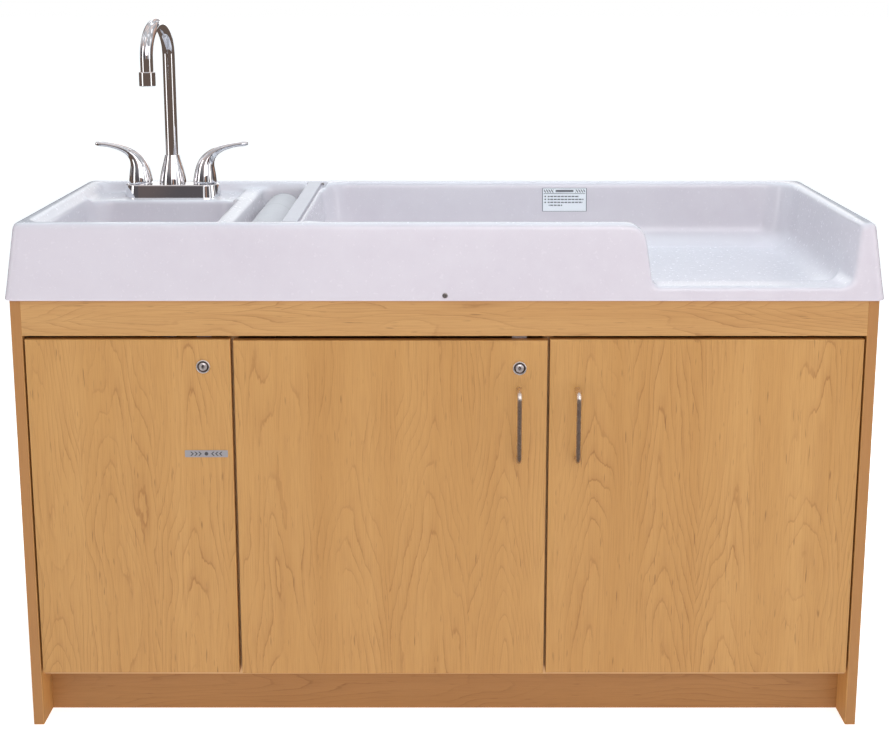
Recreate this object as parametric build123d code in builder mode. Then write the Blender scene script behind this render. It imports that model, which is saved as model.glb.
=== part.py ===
"""Infant changing-table cabinet with a one-piece moulded top, wash basin, faucet and paper roll.

Frame: origin at the centre of the footprint on the floor, +X to the right seen from the
front, +Y to the back, +Z up. Millimetres.
"""
import os
from math import atan, cos, degrees, radians, sin, tan

from build123d import *

os.makedirs("parts", exist_ok=True)

# ---------------------------------------------------------------- driving dimensions
board = 19.0                 # laminated panel thickness
cabinet_half_width = 768.5
front_y = -283.0             # plane of the door fronts, rail and side panel edges
back_y = 309.0               # rear face of the back panel
carcass_front_y = front_y + board + 2.0      # front edges behind the doors
cabinet_top_z = 832.0
inner_x = cabinet_half_width - board

toe_setback = 64.0
toe_height = 92.0
floor_panel_top = toe_height + board
rail_z = 748.0               # underside of the front rail
deck_z = (793.0, 812.0)      # board that carries the moulded top
partition_x = (-378.0, 185.5)
back_panel_t = 6.0
rear_rail_z = (693.0, 793.0)
wall_hole_x = 406.0
wall_hole_r = 3.5

door_z = (104.6, 741.6)
door_x = {"left": (-745.8, -380.9), "middle": (-375.6, 183.4), "right": (187.7, 745.8)}
door_drop = {"left": 0.0, "middle": 1.8, "right": 0.0}
door_edge_r = 1.6

hinge_z = (200.0, 646.0)
cup_r = 17.5
cup_depth = 11.5
cup_inset = 22.5             # cup centre from the door edge

lock_at = {"left": (-430.0, 692.0), "middle": (134.0, 689.0)}
lock_face_r = 12.5
lock_barrel_r = 9.5
lock_plug_r = 6.4
lock_groove_r = (8.3, 10.7)
lock_groove_depth = 1.1
lock_face_t = 2.6
lock_nut_r = 13.0
lock_nut_t = 4.0
running_gap = 0.08

pull_at = {"middle": 133.0, "right": 238.0}
pull_z = 586.0
pull_span = 128.0            # screw to screw
pull_rod = 9.0
pull_reach = 35.0
pull_screw_r = 2.0

push_label_at = (-429.0, 530.0)
latch_x = -395.5
latch_z = 530.0

skirt_z = 813.0
rim_z = 949.0
skirt_half_width = 778.0
skirt_y = (-292.0, 318.0)
skirt_lean = 17.0            # how far each outer wall leans in from skirt to rim
wall_lean_deg = 7.0          # draft of every inner wall
shell = 5.0
rim_width = 28.0
rim_round = 8.0              # rounding of the rim's edges
outer_corner_r = 16.0
inner_corner_r = 4.5         # sharp enough inside for the cabinet's square corners
skirt_screw_z = 823.0
skirt_screw_r = 2.1
skirt_screw_length = 16.0

ridge_top_z = 937.0
tap_deck_z = 928.0
tap_deck_y = 147.0
basin_floor_z = 788.0
channel_floor_z = 845.0
pan_floor_z = 817.0
sill_z = 839.0
basin_right_x = -415.0
channel_x = (-387.0, -284.0)
pan_left_x = -260.0
notch_x = 368.0              # left end of the lowered front at sill height
notch_lean = 17.0            # how far that end leans back by rim height
notch_back_y = -171.0
ledge = 4.0                  # step between the hollows that share the left end

# the one moulding is drawn as simpler solids that meet face to face at these planes
top_cuts_x = (-401.0, -271.0, 60.0, 345.0)
top_cut_z = 801.0            # crosses the foot of the basin only

faucet_at = (-565.0, 212.0)
faucet_base_h = 26.0
handle_spacing = 134.0
spout_rod_r = 12.5
spout_reach = 130.0
spout_apex_z = 1282.0
spout_tip_z = 1192.0
spout_turn_deg = 8.5         # spout swung towards the left
aerator_h = 28.0

drain_at = (-574.0, -50.0)
drain_tube_r = 22.0
pipe_r = 15.9                # tailpiece and trap arm
trap_r = 19.0
pipe_wall = 1.5
trap_bend_r = 45.0
trap_inlet_z = 650.0
trap_outlet_z = 612.0
trap_straight_z = 600.0
trap_elbow_r = 28.0
trap_arm_end_y = 316.0

roll_x = -335.5
roll_z = 892.0
roll_r = 41.0
core_r = 19.0
roll_y = (-214.0, 217.0)
spindle_r = 6.0
spindle_y = (-229.0, 252.0)
bracket_z = (868.0, 906.0)

bar_x = -275.8
bar_width = 28.0
bar_t = 9.0
bar_z = 938.5                # underside of the hold-down bar
bar_y = (-242.0, 283.5)      # front end and pivot
bar_seat_x = (-293.0, -250.0)
bar_seat_y = (-246.0, 291.0)
bar_pin_r = 2.0

# worked-out positions
rim_half_width = skirt_half_width - skirt_lean
rim_y = (skirt_y[0] + skirt_lean, skirt_y[1] - skirt_lean)
well_x = rim_half_width - rim_width
well_y = (rim_y[0] + rim_width, rim_y[1] - rim_width)
shelf_z = 430.0


# ---------------------------------------------------------------- helpers
def save(piece, node):
    """Label a finished piece with its node name and write its STEP file."""
    piece.part.label = node
    export_step(piece.part, f"parts/{node}.step")


def block(x, y, z, mode=Mode.ADD):
    """Box between the (low, high) pairs x, y and z, in the part being built."""
    with Locations(((x[0] + x[1]) / 2, (y[0] + y[1]) / 2, (z[0] + z[1]) / 2)):
        Box(x[1] - x[0], y[1] - y[0], z[1] - z[0], mode=mode)


def disc(plane, radius, depth, mode=Mode.ADD):
    """Round bar of one radius that grows from a plane along its normal."""
    with BuildSketch(plane) as outline:
        Circle(radius)
    extrude(outline.sketch, amount=depth, mode=mode)


def facing_front(x, y, z):
    """Plane at a point whose normal looks out of the cabinet's front."""
    return Plane(origin=(x, y, z), x_dir=(1, 0, 0), z_dir=(0, -1, 0))


def facing_back(x, y, z):
    """Plane at a point whose normal looks towards the cabinet's back."""
    return Plane(origin=(x, y, z), x_dir=(-1, 0, 0), z_dir=(0, 1, 0))


def skirt_screw_planes():
    """Seats of the four screws that hold the skirt, each normal pointing out of the skirt."""
    lean = skirt_lean / (rim_z - skirt_z)
    up = sin(atan(lean))
    out = cos(atan(lean))
    height = skirt_screw_z - skirt_z
    side_x = skirt_half_width - lean * height
    middle_y = sum(skirt_y) / 2
    return [
        Plane((1, skirt_y[0] + lean * height, skirt_screw_z), x_dir=(1, 0, 0), z_dir=(0, -out, up)),
        Plane((1, skirt_y[1] - lean * height, skirt_screw_z), x_dir=(1, 0, 0), z_dir=(0, out, up)),
        Plane((-side_x, middle_y, skirt_screw_z), x_dir=(0, 1, 0), z_dir=(-out, 0, up)),
        Plane((side_x, middle_y, skirt_screw_z), x_dir=(0, 1, 0), z_dir=(out, 0, up)),
    ]


def drill_skirt_screws():
    """Cut the screws' holes in the part being built."""
    for seat in skirt_screw_planes():
        disc(seat, skirt_screw_r, -skirt_screw_length, mode=Mode.SUBTRACT)


# ---------------------------------------------------------------- carcass
for side, sign in (("left", -1), ("right", 1)):
    low, high = sorted((sign * inner_x, sign * cabinet_half_width))
    with BuildPart() as side_panel:
        block((low, high), (front_y, back_y), (0, cabinet_top_z))
        chamfer(side_panel.edges().filter_by(Axis.Z).group_by(Axis.Y)[0], length=0.8)
        drill_skirt_screws()
    save(side_panel, f"{side}_side_panel")

for side, centre in zip(("left", "right"), partition_x):
    with BuildPart() as partition:
        block(
            (centre - board / 2, centre + board / 2),
            (carcass_front_y, back_y - back_panel_t),
            (floor_panel_top, deck_z[0]),
        )
        block(
            (centre - board, centre + board),
            (back_y - back_panel_t - board, back_y),
            rear_rail_z,
            mode=Mode.SUBTRACT,
        )
    save(partition, f"{side}_partition")

with BuildPart() as bottom_panel:
    block((-inner_x, inner_x), (carcass_front_y, back_y - back_panel_t), (toe_height, floor_panel_top))
save(bottom_panel, "bottom_panel")

with BuildPart() as toe_board:
    toe_y = front_y + toe_setback
    block((-inner_x, inner_x), (toe_y, toe_y + board), (0, toe_height))
save(toe_board, "toe_board")

with BuildPart() as top_rail:
    block((-inner_x, inner_x), (front_y, front_y + board), (rail_z, cabinet_top_z))
    chamfer(top_rail.edges().filter_by(Axis.X).group_by(Axis.Y)[0], length=0.8)
    drill_skirt_screws()
save(top_rail, "top_rail")

with BuildPart() as rear_rail:
    rail_front = back_y - back_panel_t - board
    block((-inner_x, inner_x), (rail_front, rail_front + board), rear_rail_z)
    with BuildSketch(facing_front(0, rail_front, sum(rear_rail_z) / 2)):
        with Locations((-wall_hole_x, 0), (wall_hole_x, 0)):
            Circle(wall_hole_r)
    extrude(amount=-board, mode=Mode.SUBTRACT)
save(rear_rail, "rear_rail")

with BuildPart() as back_panel:
    panel_y = (back_y - back_panel_t, back_y)
    block((-inner_x, inner_x), panel_y, (toe_height, cabinet_top_z))
    block((drain_at[0] - 120, drain_at[0] + 120), panel_y, (618, 688), mode=Mode.SUBTRACT)
    with BuildSketch(facing_front(0, panel_y[0], sum(rear_rail_z) / 2)):
        with Locations((-wall_hole_x, 0), (wall_hole_x, 0)):
            Circle(wall_hole_r)
    extrude(amount=-back_panel_t, mode=Mode.SUBTRACT)
    drill_skirt_screws()
save(back_panel, "back_panel")

with BuildPart() as support_deck:
    block((-inner_x, inner_x), (front_y + board, back_y - back_panel_t), deck_z)
    block((-738, -400), (-240, 268), deck_z, mode=Mode.SUBTRACT)
save(support_deck, "support_deck")

shelf_spans = {
    "middle": (partition_x[0] + board / 2, partition_x[1] - board / 2),
    "right": (partition_x[1] + board / 2, inner_x),
}
for side, (low, high) in shelf_spans.items():
    with BuildPart() as shelf:
        block((low + 1, high - 1), (-238, back_y - back_panel_t - 2), (shelf_z, shelf_z + board))
        chamfer(shelf.edges().filter_by(Axis.X).group_by(Axis.Y)[0], length=0.8)
    save(shelf, f"{side}_shelf")

with BuildPart() as shelf_pins:
    for low, high in shelf_spans.values():
        for y in (-180.0, 240.0):
            block((low, low + 9), (y - 6, y + 6), (shelf_z - 9, shelf_z))
            block((high - 9, high), (y - 6, y + 6), (shelf_z - 9, shelf_z))
save(shelf_pins, "shelf_pins")


# ---------------------------------------------------------------- doors and hinges
def hinge_plan(name):
    """Hinge edge and the way the door runs from it, +1 to the right."""
    low, high = door_x[name]
    if name == "right":
        return high, -1
    return low, 1


for name, (low, high) in door_x.items():
    drop = door_drop[name]
    hinge_x, run = hinge_plan(name)
    cup_x = hinge_x + run * cup_inset
    door_back = front_y + board
    with BuildPart() as door:
        block((low, high), (front_y, door_back), (door_z[0] - drop, door_z[1] - drop))
        fillet(door.edges().group_by(Axis.Y)[0], radius=door_edge_r)
        for z in hinge_z:
            disc(facing_front(cup_x, door_back, z), cup_r, cup_depth, mode=Mode.SUBTRACT)
        if name in lock_at:
            lock_x, lock_z = lock_at[name]
            disc(facing_back(lock_x, front_y, lock_z), lock_barrel_r, board, mode=Mode.SUBTRACT)
        if name in pull_at:
            for z in (pull_z - pull_span / 2, pull_z + pull_span / 2):
                disc(facing_back(pull_at[name], front_y, z), pull_screw_r, board, mode=Mode.SUBTRACT)
    save(door, f"{name}_door")

    with BuildPart() as hinge_cups:
        for z in hinge_z:
            disc(facing_front(cup_x, door_back, z), cup_r, cup_depth)
            block((cup_x - 11, cup_x + 11), (door_back, door_back + 1.5), (z - 26, z + 26))
            disc(facing_front(cup_x, door_back + 1.5, z), cup_r - 3.5, cup_depth - 2, mode=Mode.SUBTRACT)
    save(hinge_cups, f"{name}_hinge_cups")

hinge_wall_x = {"left": -inner_x, "middle": partition_x[0] + board / 2, "right": inner_x}
with BuildPart() as hinge_arms:
    for name, wall_x in hinge_wall_x.items():
        hinge_x, run = hinge_plan(name)
        plate_x = sorted((wall_x, wall_x + run * 2.5))
        arm_x = sorted((wall_x + run * 2.5, wall_x + run * 15))
        nose_x = sorted((wall_x + run * 2.5, hinge_x + run * (cup_inset + 6)))
        for z in hinge_z:
            block(plate_x, (-246, -196), (z - 24, z + 24))
            block(arm_x, (-258, -190), (z - 8, z + 8))
            block(nose_x, (-261, -252), (z - 6, z + 6))
save(hinge_arms, "hinge_arms")

with BuildPart() as door_bumpers:
    for name, (low, high) in door_x.items():
        run = hinge_plan(name)[1]
        free_x = high - 3.4 if run > 0 else low + 3.4
        for z in (door_z[0] + 120, door_z[1] - 60):
            disc(facing_front(free_x, carcass_front_y, z), 3.0, 1.4)
save(door_bumpers, "door_bumpers")


# ---------------------------------------------------------------- locks
for name, (lock_x, lock_z) in lock_at.items():
    nut_y = front_y + board
    with BuildPart() as lock_housing:
        with BuildSketch(facing_front(lock_x, nut_y + 6, lock_z)):
            Circle(lock_barrel_r)
        extrude(amount=board + 6)
        disc(facing_front(lock_x, front_y, lock_z), lock_face_r, lock_face_t)
        fillet(lock_housing.edges().sort_by(Axis.Y)[0], radius=1.2)
        with BuildSketch(facing_back(lock_x, front_y - lock_face_t, lock_z)):
            Circle(lock_groove_r[1])
            Circle(lock_groove_r[0], mode=Mode.SUBTRACT)
        extrude(amount=lock_groove_depth, mode=Mode.SUBTRACT)
        disc(facing_back(lock_x, nut_y, lock_z), lock_nut_r, lock_nut_t)
        disc(facing_back(lock_x, front_y - 3, lock_z), lock_plug_r + running_gap, 40, mode=Mode.SUBTRACT)
    save(lock_housing, f"{name}_lock_housing")

    with BuildPart() as lock_plug:
        disc(facing_front(lock_x, nut_y + 6.2, lock_z), lock_plug_r, board + 8.4)
        block((lock_x - 1.1, lock_x + 1.1), (front_y - 3, front_y + 10), (lock_z - 4, lock_z + 4),
              mode=Mode.SUBTRACT)
    save(lock_plug, f"{name}_lock_plug")

    with BuildPart() as lock_cam:
        with BuildSketch(facing_back(lock_x, nut_y + 6.2, lock_z)):
            with Locations((18, 0)):
                SlotOverall(54, 18)
        extrude(amount=2.5)
        disc(facing_back(lock_x, nut_y + 8.7, lock_z), 5.0, 3.0)
    save(lock_cam, f"{name}_lock_cam")

with BuildPart() as lock_strikes:
    for strike_x, strike_z in lock_at.values():
        wide = (strike_x - 13, strike_x + 13)
        back = front_y + board
        block(wide, (back, back + 2), (rail_z + 6, rail_z + 40))
        block(wide, (back + 0.8, back + 2.8), (strike_z + 32, rail_z + 7))
save(lock_strikes, "lock_strikes")


# ---------------------------------------------------------------- pulls
for name, pull_x in pull_at.items():
    bend = 13.0
    half = pull_span / 2
    axis_y = front_y - pull_reach + pull_rod / 2
    with BuildPart() as pull:
        with BuildLine() as pull_path:
            Polyline(
                (pull_x, front_y, pull_z - half),
                (pull_x, axis_y, pull_z - half),
                (pull_x, axis_y, pull_z + half),
                (pull_x, front_y, pull_z + half),
            )
            fillet(pull_path.vertices().group_by(Axis.Y)[0], radius=bend)
        with BuildSketch(facing_front(pull_x, front_y, pull_z - half)):
            Circle(pull_rod / 2)
        sweep(path=pull_path.wires()[0])
    save(pull, f"{name}_pull")

    with BuildPart() as pull_screws:
        for z in (pull_z - half, pull_z + half):
            disc(facing_back(pull_x, front_y + board, z), 4.2, 1.3)
            disc(facing_back(pull_x, front_y, z), pull_screw_r, board)
    save(pull_screws, f"{name}_pull_screws")


# ---------------------------------------------------------------- push label and touch latch
with BuildPart() as push_label:
    label_x, label_z = push_label_at
    with BuildSketch(facing_front(label_x, front_y, label_z)):
        RectangleRounded(77.5, 13, 1.5)
    extrude(amount=0.6)
save(push_label, "push_label")

with BuildPart() as latch_strike:
    disc(facing_back(latch_x, front_y + board, latch_z), 7.0, 1.2)
save(latch_strike, "latch_strike")

with BuildPart() as latch_body:
    wall = partition_x[0] - board / 2
    block((latch_x - 8, wall), (-250, -185), (latch_z - 9, latch_z + 9))
    block((latch_x - 6, wall), (-192, -170), (latch_z - 20, latch_z + 20))
    disc(facing_back(latch_x, -250, latch_z), 4.0 + running_gap, 40, mode=Mode.SUBTRACT)
save(latch_body, "latch_body")

with BuildPart() as latch_plunger:
    disc(facing_back(latch_x, front_y + board + 1.6, latch_z), 4.0, 44)
    fillet(latch_plunger.edges().sort_by(Axis.Y)[0], radius=1.5)
save(latch_plunger, "latch_plunger")


# ---------------------------------------------------------------- moulded top
def upright_edges(piece):
    """Edges of a block that run from its floor to its top."""
    return [edge for edge in piece.edges() if abs(edge.tangent_at(0.5).Z) > 0.5]


def pocket(x, y, floor, corner_r, floor_r, grow):
    """Hollow sunk from the rim with leaning walls, `grow` larger on every side."""
    with BuildPart() as hollow:
        block((x[0] - grow, x[1] + grow), (y[0] - grow, y[1] + grow), (floor - grow, rim_z))
        draft(hollow.faces().filter_by(Axis.Z, reverse=True), Plane.XY.offset(rim_z), -wall_lean_deg)
        fillet(upright_edges(hollow), radius=corner_r + grow)
        fillet(hollow.edges().group_by(Axis.Z)[0], radius=floor_r + grow)
    return hollow.part


def envelope(inset, top, corner_r, top_r):
    """Outer block of the moulded top, every wall leaning in, `inset` smaller on every side."""
    half_width = skirt_half_width - inset
    lean_deg = degrees(atan(skirt_lean / (rim_z - skirt_z)))
    with BuildPart() as outer:
        block((-half_width, half_width), (skirt_y[0] + inset, skirt_y[1] - inset), (skirt_z, top))
        draft(outer.faces().filter_by(Axis.Z, reverse=True), Plane.XY.offset(skirt_z), lean_deg)
        fillet(upright_edges(outer), radius=corner_r)
        fillet(outer.edges().group_by(Axis.Z)[-1], radius=top_r)
    return outer.part


def notch(grow):
    """Cutter for the lowered stretch of the front wall, its outline seen from the front."""
    lean = tan(radians(wall_lean_deg))
    wall_x = well_x - 0.2 + grow
    left_low = (notch_x - grow, sill_z - grow)
    left_high = (notch_x - notch_lean - grow, rim_z + 0.05)
    above = rim_z + 20
    with BuildPart() as cutter:
        with BuildSketch(facing_front(0, notch_back_y, 0)) as outline:
            with BuildLine():
                Polyline(
                    left_low,
                    left_high,
                    (left_high[0] - 60, left_high[1]),
                    (left_high[0] - 60, above),
                    (wall_x + lean * (above - rim_z), above),
                    (wall_x - lean * (rim_z - sill_z + grow), sill_z - grow),
                    close=True,
                )
            make_face()
            low = outline.vertices().group_by(Axis.Y)[0].sort_by(Axis.X)
            fillet(low[0], radius=9 + grow)
            low = outline.vertices().group_by(Axis.Y)[0].sort_by(Axis.X)
            fillet(low[-1], radius=24 + grow)
            crest = outline.vertices().sort_by_distance(Vector(*left_high))[0]
            fillet(crest, radius=36 - grow)
        extrude(amount=notch_back_y - skirt_y[0] + 20)
    return cutter.part


def top_hollows(grow):
    """Every hollow of the top that is open upwards."""
    basin_x = (-well_x + 2 * ledge, basin_right_x)
    basin_y = (well_y[0] + 2 * ledge, tap_deck_y)
    tap_x = (-well_x + ledge, basin_right_x - ledge)
    tap_y = (tap_deck_y - 30, well_y[1] - ledge)
    channel_y = (well_y[0] + ledge, well_y[1] - ledge)
    return {
        "pan": pocket((pan_left_x, well_x), well_y, pan_floor_z, 62, 46, grow),
        "well": pocket((-well_x, channel_x[1] + ledge), well_y, ridge_top_z, 24, 5, grow),
        "tap_deck": pocket(tap_x, tap_y, tap_deck_z, 24, 6, grow),
        "basin": pocket(basin_x, basin_y, basin_floor_z, 50, 36, grow),
        "channel": pocket(channel_x, channel_y, channel_floor_z, 20, 16, grow),
        "notch": notch(grow),
    }


def bar_seat(grow):
    """Slot along the ridge and into the back rim where the hold-down bar lies."""
    with BuildPart() as seat:
        block(
            (bar_seat_x[0] - grow, bar_seat_x[1] + grow),
            (bar_seat_y[0] - grow, bar_seat_y[1] + grow),
            (bar_z - 0.5 - grow, rim_z + 15),
        )
        fillet(seat.edges().filter_by(Axis.Z).group_by(Axis.Y)[-1], radius=9 + grow)
    return seat.part


open_hollows = top_hollows(0)
shell_hollows = top_hollows(shell)

with BuildPart() as under_space:
    add(envelope(shell, rim_z - shell, inner_corner_r, inner_corner_r - 0.5))
    for hollow in shell_hollows.values():
        add(hollow, mode=Mode.SUBTRACT)
    add(bar_seat(shell), mode=Mode.SUBTRACT)

with BuildPart() as moulded_top:
    add(envelope(0, rim_z, outer_corner_r, rim_round))
    add(shell_hollows["basin"])
    add(shell_hollows["pan"])
    for name in ("pan", "well", "tap_deck", "basin", "channel"):
        add(open_hollows[name], mode=Mode.SUBTRACT)
    add(bar_seat(0), mode=Mode.SUBTRACT)
    # the two stretches of inner rim beside the bar seat are rounded one after the other
    for on_pan_side in (True, False):
        rim_edges = moulded_top.edges().group_by(Axis.Z)[-1]
        inner_edges = [e for e in rim_edges if abs(e.center().X) < well_x + 1
                       and well_y[0] - 1 < e.center().Y < well_y[1] + 1]
        if on_pan_side:
            fillet([e for e in inner_edges if e.center().X > bar_seat_x[1]], radius=rim_round)
        else:
            fillet([e for e in inner_edges if e.center().X < bar_seat_x[0]], radius=rim_round)
    add(open_hollows["notch"], mode=Mode.SUBTRACT)
    add(under_space.part, mode=Mode.SUBTRACT)
    for x in (-handle_spacing / 2, handle_spacing / 2):
        disc(Plane.XY.offset(tap_deck_z + 1).shift_origin((faucet_at[0] + x, faucet_at[1], tap_deck_z + 1)),
             12.0, -12, mode=Mode.SUBTRACT)
    disc(Plane((drain_at[0], drain_at[1], basin_floor_z + 1)), drain_tube_r + 1, -12, mode=Mode.SUBTRACT)
    disc(Plane((bar_x - 19, bar_y[1], bar_z + bar_t / 2), z_dir=(1, 0, 0)), bar_pin_r, 38, mode=Mode.SUBTRACT)
    drill_skirt_screws()
    for cut_x in top_cuts_x:
        split(bisect_by=Plane.YZ.offset(cut_x), keep=Keep.BOTH)
    split(bisect_by=Plane.XY.offset(top_cut_z), keep=Keep.BOTH)
save(moulded_top, "moulded_top")

with BuildPart() as skirt_screws:
    for seat in skirt_screw_planes():
        disc(seat, 4.7, 1.2)
        disc(seat, skirt_screw_r, -skirt_screw_length)
save(skirt_screws, "skirt_screws")

with BuildPart() as wall_label:
    label_z = 911.0
    wall_y = well_y[1] - (rim_z - label_z) * tan(radians(wall_lean_deg))
    lean = radians(wall_lean_deg)
    with BuildSketch(Plane((255, wall_y, label_z), x_dir=(1, 0, 0), z_dir=(0, -cos(lean), sin(lean)))):
        RectangleRounded(95, 50, 2)
    extrude(amount=0.4)
save(wall_label, "wall_label")


# ---------------------------------------------------------------- faucet
tap_x, tap_y = faucet_at
base_top = tap_deck_z + faucet_base_h
handle_xs = {"hot": tap_x - handle_spacing / 2, "cold": tap_x + handle_spacing / 2}

with BuildPart() as faucet_base:
    with BuildSketch(Plane((tap_x, tap_y, tap_deck_z))) as outline:
        SlotOverall(handle_spacing + 66, 66)
    extrude(outline.sketch, amount=faucet_base_h, taper=8)
    fillet(faucet_base.edges().group_by(Axis.Z)[-1], radius=2.5)
    for x in handle_xs.values():
        disc(Plane((x, tap_y, base_top)), 6 + running_gap, -14, mode=Mode.SUBTRACT)
save(faucet_base, "faucet_base")

with BuildPart() as spout_hub:
    with BuildSketch(Plane.XZ.shift_origin((tap_x, 0, base_top)).offset(-tap_y)):
        with BuildLine():
            Line((0, 0), (27.5, 0))
            Spline((27.5, 0), (25.0, 18), (19.0, 42), (14.4, 60))
            Line((14.4, 60), (0, 60))
            Line((0, 60), (0, 0))
        make_face()
    revolve(axis=Axis((tap_x, tap_y, 0), (0, 0, 1)))
    disc(Plane((tap_x, tap_y, base_top + 60)), spout_rod_r + running_gap, -30, mode=Mode.SUBTRACT)
save(spout_hub, "spout_hub")

turn = radians(spout_turn_deg)
spout_way = (-sin(turn), -cos(turn), 0)
spout_foot_z = base_top + 31
bend_z = spout_apex_z - spout_reach / 2
spout_end_z = spout_tip_z - aerator_h + 18
with BuildPart() as spout:
    with BuildLine(Plane((tap_x, tap_y, 0), x_dir=spout_way, z_dir=(spout_way[1], -spout_way[0], 0))) as neck:
        Line((0, spout_foot_z), (0, bend_z))
        ThreePointArc((0, bend_z), (spout_reach / 2, spout_apex_z), (spout_reach, bend_z))
        Line((spout_reach, bend_z), (spout_reach, spout_end_z))
    with BuildSketch(Plane((tap_x, tap_y, spout_foot_z))):
        Circle(spout_rod_r)
    sweep(path=neck.wires()[0])
save(spout, "spout")

tip_x = tap_x + spout_reach * spout_way[0]
tip_y = tap_y + spout_reach * spout_way[1]
with BuildPart() as aerator:
    aerator_low = spout_tip_z - aerator_h
    disc(Plane((tip_x, tip_y, aerator_low)), 16.0, aerator_h)
    chamfer(aerator.edges().group_by(Axis.Z)[-1], length=1.6)
    fillet(aerator.edges().group_by(Axis.Z)[0], radius=1.2)
    disc(Plane((tip_x, tip_y, spout_end_z)), spout_rod_r, aerator_h, mode=Mode.SUBTRACT)
    disc(Plane((tip_x, tip_y, aerator_low)), 10.5, 8, mode=Mode.SUBTRACT)
save(aerator, "aerator")

# centre x, height, tilt of the section in degrees, thickness, width
lever_sections = [
    (0, 0, 0, 48, 48),
    (0, 14, 0, 46, 46),
    (1.5, 32, 8, 39, 39),
    (7, 49, 28, 29, 31),
    (19, 63, 52, 19, 25),
    (40, 74, 69, 12.5, 21),
    (64, 80, 80, 9.8, 18),
    (85, 82.3, 86, 9.2, 16),
    (90.5, 82.7, 87, 5.5, 11),
]
for name, x in handle_xs.items():
    way = -1 if name == "hot" else 1
    handle_z = base_top + 0.4
    with BuildPart() as handle:
        for along, height, tilt, thick, wide in lever_sections:
            angle = radians(tilt)
            section = Plane(
                (x + way * along, tap_y, handle_z + height),
                x_dir=(way * cos(angle), 0, -sin(angle)),
                z_dir=(way * sin(angle), 0, cos(angle)),
            )
            with BuildSketch(section):
                Ellipse(thick / 2, wide / 2)
        loft()
        disc(Plane((x, tap_y, handle_z + 1)), 6.0, -13)
    save(handle, f"{name}_handle")

with BuildPart() as faucet_shanks:
    for x in handle_xs.values():
        disc(Plane((x, tap_y, tap_deck_z)), 10.5, -28)
        disc(Plane((x, tap_y, tap_deck_z - 28)), 10.0, -50)
save(faucet_shanks, "faucet_shanks")

with BuildPart() as shank_nuts:
    nut_top = tap_deck_z - shell - 0.2
    for x in handle_xs.values():
        with BuildSketch(Plane((x, tap_y, nut_top))):
            RegularPolygon(19, 6)
            Circle(10.5, mode=Mode.SUBTRACT)
        extrude(amount=-10)
save(shank_nuts, "shank_nuts")


# ---------------------------------------------------------------- drain and trap
drain_x, drain_y = drain_at
drain_tube_low = 728.0


def ring(z, outer, inner, height):
    """Washer-like ring about the drain axis, growing up from z."""
    with BuildSketch(Plane((drain_x, drain_y, z))) as section:
        Circle(outer)
        Circle(inner, mode=Mode.SUBTRACT)
    extrude(section.sketch, amount=height)


with BuildPart() as drain_body:
    ring(drain_tube_low, drain_tube_r, drain_tube_r - 4, basin_floor_z - drain_tube_low)
    ring(basin_floor_z, 36, drain_tube_r - 4, 2.5)
    chamfer(drain_body.edges().group_by(Axis.Z)[-1].sort_by(SortBy.LENGTH)[-1], length=1.5)
    disc(Plane((drain_x, drain_y, basin_floor_z - 4)), drain_tube_r - 4, 2)
    with BuildSketch(Plane((drain_x, drain_y, basin_floor_z - 4))):
        Circle(2.5)
        with PolarLocations(9.5, 8):
            Circle(2.5)
    extrude(amount=2, mode=Mode.SUBTRACT)
save(drain_body, "drain_body")

with BuildPart() as drain_washer:
    ring(basin_floor_z - shell - 3.5, 33, drain_tube_r, 3.3)
save(drain_washer, "drain_washer")

with BuildPart() as drain_nut:
    with BuildSketch(Plane((drain_x, drain_y, basin_floor_z - shell - 15))):
        RegularPolygon(33, 6)
        Circle(drain_tube_r, mode=Mode.SUBTRACT)
    extrude(amount=11.5)
save(drain_nut, "drain_nut")

with BuildPart() as tailpiece:
    ring(trap_inlet_z - 8, pipe_r, pipe_r - pipe_wall, 104)
save(tailpiece, "tailpiece")

outlet_y = drain_y + 2 * trap_bend_r
with BuildPart() as trap_bend:
    with BuildLine(Plane.YZ.offset(drain_x)) as bend_path:
        Line((drain_y, trap_inlet_z), (drain_y, trap_straight_z))
        ThreePointArc(
            (drain_y, trap_straight_z),
            (drain_y + trap_bend_r, trap_straight_z - trap_bend_r),
            (outlet_y, trap_straight_z),
        )
        Line((outlet_y, trap_straight_z), (outlet_y, trap_outlet_z))
    with BuildSketch(Plane((drain_x, drain_y, trap_inlet_z))):
        Circle(trap_r)
        Circle(trap_r - 3, mode=Mode.SUBTRACT)
    sweep(path=bend_path.wires()[0])
save(trap_bend, "trap_bend")

arm_z = trap_outlet_z + 6 + trap_elbow_r
with BuildPart() as trap_arm:
    with BuildLine(Plane.YZ.offset(drain_x)) as arm_path:
        Line((outlet_y, trap_outlet_z - 4), (outlet_y, trap_outlet_z + 6))
        ThreePointArc(
            (outlet_y, trap_outlet_z + 6),
            (
                outlet_y + trap_elbow_r * (1 - cos(radians(45))),
                trap_outlet_z + 6 + trap_elbow_r * sin(radians(45)),
            ),
            (outlet_y + trap_elbow_r, arm_z),
        )
        Line((outlet_y + trap_elbow_r, arm_z), (trap_arm_end_y, arm_z))
    with BuildSketch(Plane((drain_x, outlet_y, trap_outlet_z - 4))):
        Circle(pipe_r)
        Circle(pipe_r - pipe_wall, mode=Mode.SUBTRACT)
    sweep(path=arm_path.wires()[0])
save(trap_arm, "trap_arm")


def slip_nut(y, joint_z, wide_r, outer_r, wide_above):
    """Nut over a joint: a wide bore over the outer pipe, a narrow one over the inner pipe."""
    low = joint_z - 6 if wide_above else joint_z - 12
    with BuildSketch(Plane((drain_x, y, low))) as outline:
        RegularPolygon(outer_r, 8)
        Circle(pipe_r, mode=Mode.SUBTRACT)
    extrude(outline.sketch, amount=18)
    wide_low = joint_z if wide_above else low
    disc(Plane((drain_x, y, wide_low)), wide_r, 12, mode=Mode.SUBTRACT)


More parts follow.
